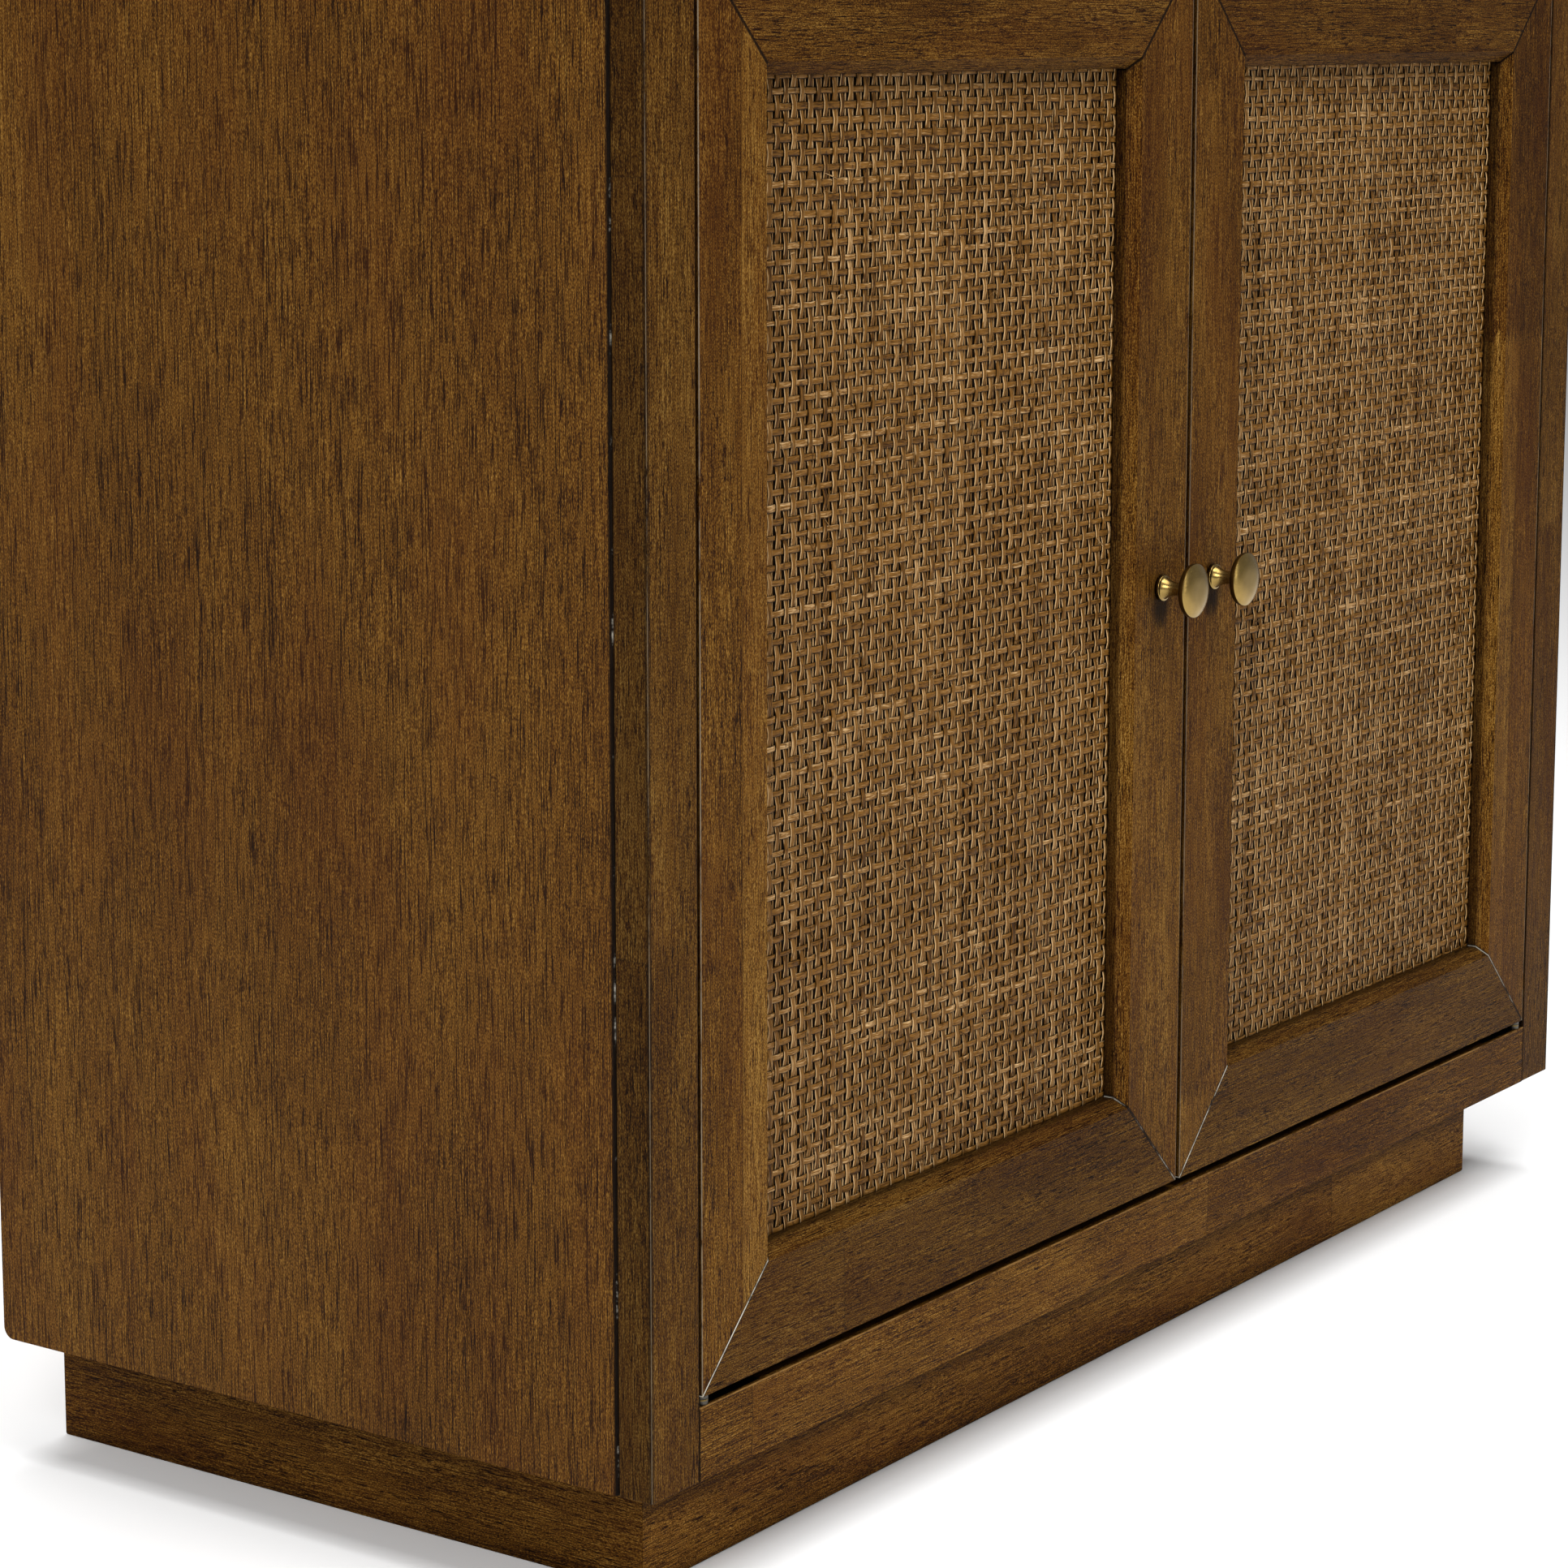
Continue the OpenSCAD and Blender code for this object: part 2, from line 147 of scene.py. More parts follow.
class Shader:
    """Short calls that add nodes to one material's tree. A value is a socket or a number."""

    def __init__(self, name):
        self.material = bpy.data.materials.new(name)
        self.material.use_nodes = True
        self.tree = self.material.node_tree
        self.tree.nodes.clear()

    def node(self, kind, values=(), **settings):
        made = self.tree.nodes.new(kind)
        for key, value in settings.items():
            setattr(made, key, value)
        for key, value in dict(values).items():
            self.put(made.inputs[key], value)
        return made

    def put(self, socket, value):
        if isinstance(value, bpy.types.NodeSocket):
            self.tree.links.new(value, socket)
        else:
            socket.default_value = value

    def math(self, operation, a, b=0.0):
        made = self.node("ShaderNodeMath", operation=operation)
        self.put(made.inputs[0], a)
        self.put(made.inputs[1], b)
        return made.outputs[0]

    def add(self, a, b):
        return self.math("ADD", a, b)

    def sub(self, a, b):
        return self.math("SUBTRACT", a, b)

    def mul(self, a, b):
        return self.math("MULTIPLY", a, b)

    def step(self, value, low, high, to_low=0.0, to_high=1.0):
        """Smooth step from to_low at low to to_high at high."""
        made = self.node("ShaderNodeMapRange", interpolation_type="SMOOTHSTEP", clamp=True)
        keys = ("Value", "From Min", "From Max", "To Min", "To Max")
        for key, v in zip(keys, (value, low, high, to_low, to_high)):
            self.put(made.inputs[key], v)
        return made.outputs[0]

    def vector(self, x, y, z):
        return self.node("ShaderNodeCombineXYZ", {"X": x, "Y": y, "Z": z}).outputs[0]

    def noise(self, vector, detail=2.0, roughness=0.5, scale=1.0):
        values = {"Vector": vector, "Scale": scale, "Detail": detail, "Roughness": roughness}
        return self.node("ShaderNodeTexNoise", values).outputs["Fac"]

    def split(self, vector):
        """The x, y and z outputs of a vector."""
        return self.node("ShaderNodeSeparateXYZ", {"Vector": vector}).outputs

    def object_place(self):
        return self.node("ShaderNodeTexCoord").outputs["Object"]

    def openness(self, reach, samples):
        """Ambient occlusion: 1 in the open, less in a hollow within reach."""
        return self.node("ShaderNodeAmbientOcclusion", {"Distance": reach}, samples=samples).outputs["AO"]

    def random(self, value):
        return self.node("ShaderNodeTexWhiteNoise", {"W": value}, noise_dimensions="1D").outputs["Value"]

    def mix(self, factor, a, b):
        made = self.node("ShaderNodeMix", data_type="RGBA")
        self.put(made.inputs[0], factor)
        self.put(made.inputs[6], a)
        self.put(made.inputs[7], b)
        return made.outputs[2]

    def shade(self, colour, factor):
        """The colour with its brightness multiplied by factor."""
        made = self.node("ShaderNodeVectorMath", operation="SCALE")
        self.put(made.inputs[0], colour)
        self.put(made.inputs["Scale"], factor)
        return made.outputs[0]

    def bump(self, height, distance):
        made = self.node("ShaderNodeBump", {"Height": height, "Distance": distance, "Strength": 1.0})
        return made.outputs["Normal"]

    def finish(self, colour, roughness, normal, metallic=0.0, specular=0.5):
        values = {"Base Color": colour, "Roughness": roughness, "Metallic": metallic}
        shader = self.node("ShaderNodeBsdfPrincipled", values)
        self.put(shader.inputs["Normal"], normal)
        shader.inputs["Specular IOR Level"].default_value = specular
        output = self.node("ShaderNodeOutputMaterial")
        self.tree.links.new(shader.outputs[0], output.inputs["Surface"])
        return self.material


# ---------------------------------------------------------------- wood


class Wood:
    """What one kind of stained wood looks like. Lengths in metres, frequencies per metre."""

    def __init__(self, ramp, red, fleck, fibre, ring, zone, coarse_pores, fine_pores, wander, rough, gloss):
        self.ramp = [linear(stop) for stop in ramp]   # from the darkest grain to the lightest
        self.red = linear(red)
        # short flecks, long fine fibres, growth bands and broad zones: (across, along, strength)
        self.layers = {"fleck": fleck, "fibre": fibre, "ring": ring, "zone": zone}
        self.coarse_pores = coarse_pores   # (across, along, noise where a pore starts, and is full)
        self.fine_pores = fine_pores
        self.wander = wander               # how far the grain strays from straight
        self.rough = rough
        self.gloss = gloss                 # specular level, low for an oiled surface


BROWN = ("150801", "351b04", "58370e", "76511c", "a27c3c")
VENEER = Wood(
    ramp=BROWN, red="56280a", wander=0.004, rough=0.55, gloss=0.055,
    fleck=(2400, 900, 2.4), fibre=(2400, 14, 1.5), ring=(230, 2.5, 0.3), zone=(14, 3.0, 0.5),
    coarse_pores=(1700, 48, 0.61, 0.635), fine_pores=(2300, 80, 0.61, 0.64))
FRAME_WOOD = Wood(
    ramp=BROWN, red="56280a", wander=0.003, rough=0.55, gloss=0.03,
    fleck=(2400, 1000, 2.5), fibre=(2400, 40, 2.2), ring=(110, 6.0, 0.6), zone=(24, 6.0, 0.8),
    coarse_pores=(1700, 110, 0.64, 0.665), fine_pores=(2300, 170, 0.63, 0.66))
INNER_WOOD = Wood(
    ramp=("2e1c0a", "4a3014", "67461f", "83602f", "a88550"), red="6a4122",
    wander=0.004, rough=0.55, gloss=0.055,
    fleck=(2000, 700, 1.0), fibre=(1600, 30, 1.4), ring=(120, 2.6, 0.4), zone=(12, 3.0, 0.5),
    coarse_pores=(900, 40, 0.63, 0.67), fine_pores=(1500, 80, 0.62, 0.68))
PLY_WOOD = Wood(
    ramp=("3f2810", "5e401f", "7a5832", "937045", "b59466"), red="6c4526",
    wander=0.010, rough=0.6, gloss=0.055,
    fleck=(2000, 600, 0.9), fibre=(1200, 20, 1.3), ring=(40, 1.4, 0.8), zone=(8, 1.5, 0.5),
    coarse_pores=(800, 34, 0.64, 0.68), fine_pores=(1300, 60, 0.63, 0.70))

BLOCK_CONTRAST = 0.22              # tone step from one finger-jointed block to the next
JOINT_DARK = 0.3
TOOTH_WIDTH, TOOTH_LENGTH = 4.4 * MM, 9.0 * MM
PORE_DARK = 0.85
PORE_DEPTH = 0.25 * MM
RED_SHARE = 0.14
HOLLOW_REACH = 12 * MM             # how far out of a corner the wood is painted darker, as painted shade

# dark brown for real stain and dark joints, and for painted shade and painted shadow
STAIN_AND_SHADE = linear("0c0603")
RUBBED = linear("8f6c3c")
WORN = linear("8d7f6a")
# pale colour of painted glints and painted highlights on edges
PAINTED_GLINT = linear("d6cdbb")


class Mark:
    """A line of stain, wear, painted shade or painted highlight on wood, along the plane or edge where
    every gap is 0.

    Each gap is (axis, place). The axis is x, y or z, or x+z or x-z for a mitre.
    """

    def __init__(self, gaps, width, colour, strength, broken=0.0):
        self.gaps = gaps
        self.width = width
        self.colour = colour
        self.strength = strength
        self.broken = broken               # how much of the line is missing


def gap_to(s, parts, axis, place):
    if len(axis) == 1:
        return s.sub(parts["xyz".index(axis)], place)
    rotated = s.math("ADD" if axis[1] == "+" else "SUBTRACT", parts[0], parts[2])
    return s.mul(s.sub(rotated, place), math.sqrt(0.5))


def mark_colour(s, parts, colour, mark, chips):
    """The colour with one mark painted over it, broken up where chips is low."""
    gaps = [gap_to(s, parts, axis, place) for axis, place in mark.gaps]
    square = s.mul(gaps[0], gaps[0])
    for gap in gaps[1:]:
        square = s.add(square, s.mul(gap, gap))
    distance = s.math("SQRT", square)
    strength = s.step(distance, mark.width * 0.45, mark.width, mark.strength, 0.0)
    if mark.broken:
        strength = s.mul(strength, s.step(chips, 0.30 + 0.2 * mark.broken, 0.45 + 0.2 * mark.broken))
    return s.mix(strength, colour, mark.colour)


def grain_space(s, along, wander, seed):
    """Where a point lies: its x, y and z, two distances across the grain and one along it, gently bent."""
    parts = s.split(s.object_place())
    order = {"x": (1, 2, 0), "y": (2, 0, 1), "z": (0, 1, 2)}[along]
    p, q, run = (parts[i] for i in order)
    p, q = s.add(p, seed * 0.37), s.add(q, seed * 0.23)
    bend = s.noise(s.vector(s.mul(p, 7.0), s.mul(q, 7.0), s.mul(run, 2.4)), detail=1.0)
    bend = s.mul(s.sub(bend, 0.5), wander * 2.0)
    return parts, s.add(p, bend), s.add(q, bend), run


def stretched(s, grain, across, along, detail=1.0, roughness=0.5):
    """Noise with one frequency across the grain and another along it."""
    p, q, run = grain
    return s.noise(s.vector(s.mul(p, across), s.mul(q, across), s.mul(run, along)), detail, roughness)


def finger_blocks(s, p, run, length, seed):
    """For wood made of finger-jointed blocks: a random number per block, and 1 on the joint's line."""
    tooth = s.math("PINGPONG", s.math("DIVIDE", p, TOOTH_WIDTH / 2), 1.0)
    place = s.add(s.math("DIVIDE", s.add(run, s.mul(tooth, TOOTH_LENGTH)), length), seed * 1.713)
    number = s.random(s.add(s.math("FLOOR", place), seed))
    part = s.math("FRACT", place)
    line = s.step(s.mul(s.math("MINIMUM", part, s.sub(1.0, part)), length), 0.0, 0.9 * MM, 1.0, 0.0)
    return number, line


def pore_field(s, grain, wood, ring):
    """1 in a coarse pore and 0.6 in a fine one, which both gather in the growth bands."""
    pores = []
    for across, lengthwise, start, full in (wood.coarse_pores, wood.fine_pores):
        field = s.add(stretched(s, grain, across, lengthwise), s.mul(s.sub(ring, 0.5), 0.25))
        pores.append(s.step(field, start, full))
    return s.math("MAXIMUM", pores[0], s.mul(pores[1], 0.6))


def ramp_colour(s, level, stops):
    """The wood's colour for a level from -1, darkest, to 1, lightest."""
    node = s.node("ShaderNodeValToRGB", {"Fac": s.add(s.mul(level, 0.5), 0.5)})
    elements = node.color_ramp.elements
    for element, place, stop in zip(elements, (0.0, 1.0), (stops[0], stops[-1])):
        element.position, element.color = place, stop
    for place, stop in zip((0.3, 0.5, 0.7), stops[1:-1]):
        elements.new(place).color = stop
    return node.outputs["Color"]


def wood_material(name, wood, along, seed, marks=(), block=None, tone=1.0, lamella=None):
    """block is the length of finger-jointed blocks. lamella is a glued strip: (axis, place, lift)."""
    s = Shader(name)
    parts, p, q, run = grain_space(s, along, wood.wander, seed)
    level = 0.0
    if block:
        number, joint = finger_blocks(s, p, run, block, seed)
        level = s.mul(s.sub(number, 0.5), BLOCK_CONTRAST)
        p = s.add(p, s.mul(number, 3.0))
    if lamella:
        axis, place, lift = lamella
        over = s.step(parts["xyz".index(axis)], place - 0.3 * MM, place + 0.3 * MM)
        level = s.add(level, s.mul(over, lift))
        p = s.add(p, s.mul(over, 0.71))
    grain = (p, q, run)
    fields = {}
    for layer, (across, lengthwise, strength) in wood.layers.items():
        detail, roughness = (2.0, 0.6) if layer == "fibre" else (1.0, 0.5)
        fields[layer] = stretched(s, grain, across, lengthwise, detail, roughness)
        level = s.add(level, s.mul(s.sub(fields[layer], 0.5), strength))
    pore = pore_field(s, grain, wood, fields["ring"])
    colour = ramp_colour(s, s.sub(level, s.mul(pore, PORE_DARK)), wood.ramp)
    blotch = stretched(s, grain, 20.0, 7.0)
    colour = s.mix(s.step(blotch, 0.4, 0.7, 0.0, RED_SHARE), colour, wood.red)
    if block:
        colour = s.mix(s.mul(joint, JOINT_DARK), colour, STAIN_AND_SHADE)
    # painted shade: the wood is darker in hollows, corners and gaps, where shade falls
    hollow_shade = s.step(s.openness(HOLLOW_REACH, 6), 0.25, 0.85, 0.35, 1.0)
    colour = s.shade(colour, s.mul(hollow_shade, tone))
    if marks:
        chips = s.noise(s.vector(*(s.mul(part, 20.0) for part in parts)), 6.0, 0.75)
        for mark in marks:
            colour = mark_colour(s, parts, colour, mark, chips)
    fibre = fields["fibre"]
    normal = s.bump(s.sub(s.mul(fibre, 0.6), pore), PORE_DEPTH)
    rough = s.add(wood.rough, s.mul(s.sub(fibre, 0.5), 0.5))
    return s.finish(colour, rough, normal, specular=wood.gloss)


def soften(node, width):
    """Rounds a CAD node's sharp edges for the eye."""
    weld = node.modifiers.new("weld", "WELD")
    weld.merge_threshold = 0.01 * MM
    bevel = node.modifiers.new("bevel", "BEVEL")
    bevel.width = width
    bevel.segments = 2
    bevel.limit_method = "ANGLE"
    bevel.angle_limit = math.radians(30)
    bevel.use_clamp_overlap = True


def dress_wood(name, wood, along, seed, edge=0.7 * MM, **details):
    node = frame["nodes"][name]
    node.data.materials.clear()
    node.data.materials.append(wood_material(name, wood, along, seed, **details))
    soften(node, edge)


def dress_side_panels():
    """Veneered, with painted shade along the groove at the face frame and specks of painted glint in it."""
    for seed, side in enumerate(SIDES):
        groove_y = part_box(f"side_panel_{side}")[0].y
        # painted shade in the groove, then broken specks of painted glint
        marks = [Mark([("y", groove_y)], 1.9 * MM, STAIN_AND_SHADE, 0.97),
                 Mark([("y", groove_y)], 0.7 * MM, PAINTED_GLINT, 0.8, broken=1.3)]
        dress_wood(f"side_panel_{side}", VENEER, "z", 3.1 + seed, tone=0.8, marks=marks)


def dress_face_frame():
    for seed, side in enumerate(SIDES):
        low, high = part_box(f"face_frame_stile_{side}")
        outer_x, inner_x = (low.x, high.x) if side == LEFT else (high.x, low.x)
        arris = [("x", outer_x), ("y", low.y)]
        # the first mark is painted shade in the groove at the side panel, the last is painted shade on the
        # inner face in the gap at the door
        marks = [Mark([("y", high.y)], 1.6 * MM, STAIN_AND_SHADE, 0.97),
                 Mark([("x", outer_x)], 0.5 * MM, STAIN_AND_SHADE, 0.42),
                 Mark(arris, 2.2 * MM, STAIN_AND_SHADE, 0.6),
                 Mark(arris, 0.5 * MM, WORN, 0.55, broken=0.4),
                 Mark([("x", inner_x)], 1.2 * MM, STAIN_AND_SHADE, 0.7)]
        dress_wood(f"face_frame_stile_{side}", FRAME_WOOD, "z", 5.3 + seed, block=0.33, tone=0.6,
                   marks=marks)
    for seed, rail in enumerate(("top", "bottom")):
        low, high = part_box(f"face_frame_{rail}_rail")
        marks = [Mark([("x", end)], 0.9 * MM, STAIN_AND_SHADE, 0.8) for end in (low.x, high.x)]
        marks.append(Mark([("y", low.y), ("z", high.z)], 0.8 * MM, RUBBED, 0.6, broken=0.5))
        dress_wood(f"face_frame_{rail}_rail", FRAME_WOOD, "x", 7.7 + seed, block=0.41, tone=0.82,
                   marks=marks)


def dress_boards():
    dress_wood("top_panel", VENEER, "x", 9.2, edge=1.2 * MM)
    dress_wood("bottom_panel", INNER_WOOD, "x", 10.4)
    dress_wood("centre_partition", INNER_WOOD, "z", 11.9)
    dress_wood("back_panel", PLY_WOOD, "x", 12.6, edge=0.4 * MM)
    shelves = [f"shelf_{side}_{level}" for side in SIDES for level in ("lower", "upper")]
    for seed, shelf in enumerate(shelves):
        dress_wood(shelf, INNER_WOOD, "x", 14.1 + seed)


def dress_plinth():
    """The front and rear boards get painted shadow towards the carcass that overhangs them, and are painted
    lighter than the side boards as painted light.
    """
    carcass_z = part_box("face_frame_bottom_rail")[0].z
    overhang_shadow = [Mark([("z", carcass_z)], 34 * MM, STAIN_AND_SHADE, 0.7)]
    boards = (("front", "x"), ("rear", "x"), ("left", "y"), ("right", "y"))
    for seed, (board, along) in enumerate(boards):
        # front and rear: painted lighter, as painted light, and darker near the carcass, as painted shadow
        tone, marks = (0.72, ()) if along == "y" else (1.25, overhang_shadow)
        dress_wood(f"plinth_{board}", FRAME_WOOD, along, 21.3 + seed, block=0.47, tone=tone, marks=marks)
    dress_wood("plinth_corner_blocks", INNER_WOOD, "z", 26.8)


def mitre_marks(stile, rail, member, x, z, falls):
    """The mitre's line from the door's corner (x, z): dark, with a painted highlight at the bottom corners,
    stronger at the left one.
    """
    if member not in (f"{stile}_stile", f"{rail}_rail"):
        return []
    line = [("x+z", x + z) if falls else ("x-z", x - z)]
    marks = [Mark(line, 1.1 * MM, STAIN_AND_SHADE, 0.9)]
    # painted highlight on the bottom mitres, which face the light from above
    if rail == "bottom":
        strength, broken = (0.35, 0.6) if falls else (0.8, 0.5)
        marks.append(Mark(line, 0.5 * MM, PAINTED_GLINT, strength, broken))
    return marks


def door_marks(side, member):
    """Painted shade in the recess round the cane, the mitres, a worn outer edge and a painted shadow below
    the knob.
    """
    low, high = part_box(f"door_{side}_outer_stile")
    meeting_low, meeting_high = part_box(f"door_{side}_meeting_stile")
    low_x, high_x = min(low.x, meeting_low.x), max(high.x, meeting_high.x)
    edge_x = {"outer": low_x, "meeting": high_x} if side == LEFT else {"outer": high_x, "meeting": low_x}
    # painted shade in the recess round the cane
    marks = [Mark([("y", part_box(f"door_{side}_cane")[0].y)], 8 * MM, STAIN_AND_SHADE, 0.5)]
    for stile, x in edge_x.items():
        for rail, z in (("top", high.z), ("bottom", low.z)):
            marks += mitre_marks(stile, rail, member, x, z, (x == low_x) == (rail == "top"))
    if member == "meeting_stile":
        knob_low, knob_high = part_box(f"door_{side}_knob")
        knob_x, knob_z = (knob_low.x + knob_high.x) / 2, (knob_low.z + knob_high.z) / 2
        # painted shadow of the knob, on the stile below it
        for drop, width, strength in ((6, 16, 0.45), (8, 10, 0.5), (14, 9, 0.5)):
            marks.append(Mark([("x", knob_x), ("z", knob_z - drop * MM)], width * MM, STAIN_AND_SHADE, strength))
    worn = {"outer_stile": ("outer", 0.7), "meeting_stile": ("meeting", 0.4)}
    if member in worn:
        stile, strength = worn[member]
        marks.append(Mark([("x", edge_x[stile]), ("y", low.y)], 0.5 * MM, WORN, strength, broken=0.3))
    return marks


def outer_stile_lamella(side, name):
    """The strip glued along each outer stile: its axis, where it starts and how much lighter it is."""
    low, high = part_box(name)
    share, lift = (0.56, 0.3) if side == LEFT else (0.44, -0.2)
    return "x", low.x + share * (high.x - low.x), lift


def dress_doors():
    tones = {"outer_stile": 0.8, "meeting_stile": 0.76, "top_rail": 0.66, "bottom_rail": 0.54}
    for seed, side in enumerate(SIDES):
        for index, (member, tone) in enumerate(tones.items()):
            name = f"door_{side}_{member}"
            along = "z" if member.endswith("stile") else "x"
            lamella = outer_stile_lamella(side, name) if member == "outer_stile" else None
            dress_wood(name, FRAME_WOOD, along, 31.2 + 5 * seed + index, edge=0.6 * MM, block=0.52,
                       tone=tone, lamella=lamella, marks=door_marks(side, member))
        dress_wood(f"door_{side}_backing", INNER_WOOD, "z", 44.0 + seed, tone=0.15)
        dress_wood(f"door_{side}_beads", INNER_WOOD, "z", 47.0 + seed)


dress_side_panels()
dress_face_frame()
dress_boards()
dress_plinth()
dress_doors()


# ---------------------------------------------------------------- woven cane

WARP_PITCH = 6.1 * MM
WEFT_PITCH = 6.6 * MM
PLACE_SPREAD = 0.2 * MM            # how unevenly the strands lie
WEAVE_LEAD = 0.42 * MM             # how far a strand passes before or behind the cane's middle
HIDDEN_EDGE = 6.0 * MM             # the cane sheet's edge that the door frame covers
STRAYS, STRAY_EDGE = 420, 8 * MM   # split fibres on each door, and how far they keep from the edge
X_AXIS, Z_AXIS = np.array([1.0, 0.0, 0.0]), np.array([0.0, 0.0, 1.0])
# name: half width and its spread, in mm
HALF_WIDTHS = {"warp": (1.4, 0.14), "weft": (1.5, 0.2), "fine": (0.58, 0.08)}
# name: thickness in mm, cross-section as (across, out) in half widths and thicknesses
SECTIONS = {
    "warp": (0.42, ((-1, 0), (-0.85, 1), (-0.3, 0.55), (0.3, 0.55), (0.85, 1), (1, 0))),
    "weft": (0.42, ((-1, 0), (-0.7, 1), (0.7, 1), (1, 0))),
    "fine": (0.3, ((-1, 0), (0, 1), (1, 0))),
    "stray": (0.2, ((-1, 0), (0, 1), (1, 0))),
}
# name: pale edges (cut edges, with a painted highlight), painted shadow along the edges, share of each
# strand's own tone, overall lift
CANE_LOOKS = {
    "warp": (1.1, 0.0, 0.4, -0.1),
    "weft": (0.3, 0.95, 0.4, 0.0),
    "fine": (0.0, 0.3, 0.6, 0.4),
    "stray": (0.3, 0.0, 1.0, 0.0),
}


def weave_places(low, high, pitch, rng):
    """Evenly pitched strand places between low and high, each a little off."""
    count = int((high - low) / pitch)
    return low + (high - low) * (np.arange(count) + 0.5) / count + rng.normal(0.0, PLACE_SPREAD, count)


def strands(name, lines, section, thickness, material):
    """One mesh of many closed strips. Each line is (points, across, half_width, tone)."""
    section = np.array(section, float)
    corners = len(section)
    all_points, all_faces, across_uv, along_uv, tones, base = [], [], [], [], [], 0
    for points, across, half, tone in lines:
        count = len(points)
        out = np.cross(across, np.gradient(points, axis=0))
        out /= np.linalg.norm(out, axis=1, keepdims=True)
        out *= np.sign(-out[:, 1:2])
        ring = (points[:, None] + across * half[:, None, None] * section[None, :, 0:1]
                + out[:, None] * thickness * section[None, :, 1:2])
        all_points.append(ring.reshape(-1, 3))
        i, k = np.meshgrid(np.arange(count - 1), np.arange(corners), indexing="ij")
        a = base + i * corners + k
        b = base + i * corners + (k + 1) % corners
        all_faces.append(np.stack([a, b, b + corners, a + corners], axis=-1).reshape(-1, 4))
        length = np.concatenate([[0.0], np.cumsum(np.linalg.norm(np.diff(points, axis=0), axis=1))])
        across_uv.append(np.tile((section[:, 0] + 1) / 2, count))
        along_uv.append(np.repeat(length, corners))
        tones.append(np.full(count * corners, tone))
        base += count * corners
    faces = np.concatenate(all_faces)
    mesh = bpy.data.meshes.new(name)
    mesh.from_pydata(np.concatenate(all_points).tolist(), [], faces.tolist())
    corner = faces.ravel()
    for layer, u, v in (("strand", across_uv, along_uv), ("tone", tones, across_uv)):
        values = np.stack([np.concatenate(u)[corner], np.concatenate(v)[corner]], axis=1)
        mesh.uv_layers.new(name=layer).data.foreach_set("uv", values.ravel())
    mesh.polygons.foreach_set("use_smooth", np.ones(len(faces), bool))
    mesh.materials.append(material)
    piece = bpy.data.objects.new(name, mesh)
    bpy.context.scene.collection.objects.link(piece)
    return piece


def cane_material(name, pale_cut_and_lit_edge, shadow_edge, tone_share, lift):
    """Split cane: brown with fibre lines, pale at its cut edges with a painted highlight there, with
    painted shadow along its edges and painted shade in the weave's hollows.
    """
    s = Shader(name)
    across, along = s.split(s.node("ShaderNodeUVMap", uv_map="strand").outputs[0])[:2]
    tone = s.split(s.node("ShaderNodeUVMap", uv_map="tone").outputs[0])[0]
    place = s.object_place()
    own = s.add(across, s.mul(tone, 40.0))
    lines = s.noise(s.vector(s.mul(own, 4.0), s.mul(along, 90.0), s.mul(tone, 9.0)), 3.0, 0.65)
    fine = s.noise(s.vector(s.mul(own, 11.0), s.mul(along, 260.0), s.mul(tone, 5.0)), 2.0, 0.6)
    patch = s.noise(place, 3.0, 0.6, scale=14.0)
    speck = s.noise(place, 1.0, 0.5, scale=330.0)
    # pale edges: partly the cut cane's own colour, partly painted highlight
    edge = s.step(s.math("ABSOLUTE", s.sub(across, 0.5)), 0.38, 0.43)
    streak = s.noise(s.vector(s.mul(tone, 70.0), s.mul(along, 22.0), 0.0), 2.0)
    ragged = s.step(s.noise(s.vector(s.mul(own, 2.0), s.mul(along, 130.0), 0.0), 1.0), 0.30, 0.5)
    level = s.add(s.mul(s.mul(edge, ragged), pale_cut_and_lit_edge), lift)
    shares = ((lines, 2.2), (fine, 1.6), (tone, tone_share), (patch, 0.35), (streak, 1.3))
    for field, share in shares:
        level = s.add(level, s.mul(s.sub(field, 0.5), share))
    colour = s.mix(s.step(level, -0.8, 0.15), linear("2c1703"), linear("6e4a1b"))
    colour = s.mix(s.step(level, 0.1, 1.0), colour, linear("c2a072"))
    colour = s.mix(s.step(speck, 0.62, 0.74, 0.0, 0.6), colour, linear("261304"))
    # painted shadow along the strand's lower edge, and weaker along its upper edge
    low_edge_shadow = s.step(across, 0.04, 0.22, shadow_edge, 0.0)
    high_edge_shadow = s.step(across, 0.86, 0.98, 0.0, shadow_edge * 0.6)
    colour = s.mix(s.math("MAXIMUM", low_edge_shadow, high_edge_shadow), colour, linear("140902"))
    # painted shade: darker in the hollows of the weave
    colour = s.shade(colour, s.step(s.openness(1.8 * MM, 8), 0.20, 0.75, 0.05, 1.0))
    rough = s.add(0.5, s.mul(s.sub(fine, 0.5), 0.3))
    return s.finish(colour, rough, s.bump(s.add(lines, fine), 0.10 * MM), specular=0.08)


def weave_line(rng, places, start, end, first, steps):
    """One strand: distances along it, its sway, its depth in the weave and how its width varies."""
    count = len(places)
    phase = np.arange(-0.5, count - 0.49, 1 / steps)
    run = np.interp(phase, np.arange(count), places)
    run[0], run[-1] = start, end
    knots = np.arange(-1, count + 5, 5)
    sway = np.interp(phase, knots, rng.normal(0, 0.2 * MM, len(knots)))
    sway += np.interp(phase, np.arange(count), rng.normal(0, 0.09 * MM, count))
    turn = np.cos(math.pi * (phase + first))
    depth = -WEAVE_LEAD * np.tanh(1.8 * turn) / math.tanh(1.8)
    width = np.interp(phase, np.arange(count), 1 + rng.normal(0, 0.08, count))
    return run, sway, depth, width


def strand_line(rng, kind, points, across, width):
    """One strand's points and direction with a half width and a tone of its own."""
    half, spread = HALF_WIDTHS[kind]
    return points, across, width * (half + rng.normal(0, spread)) * MM, rng.random()


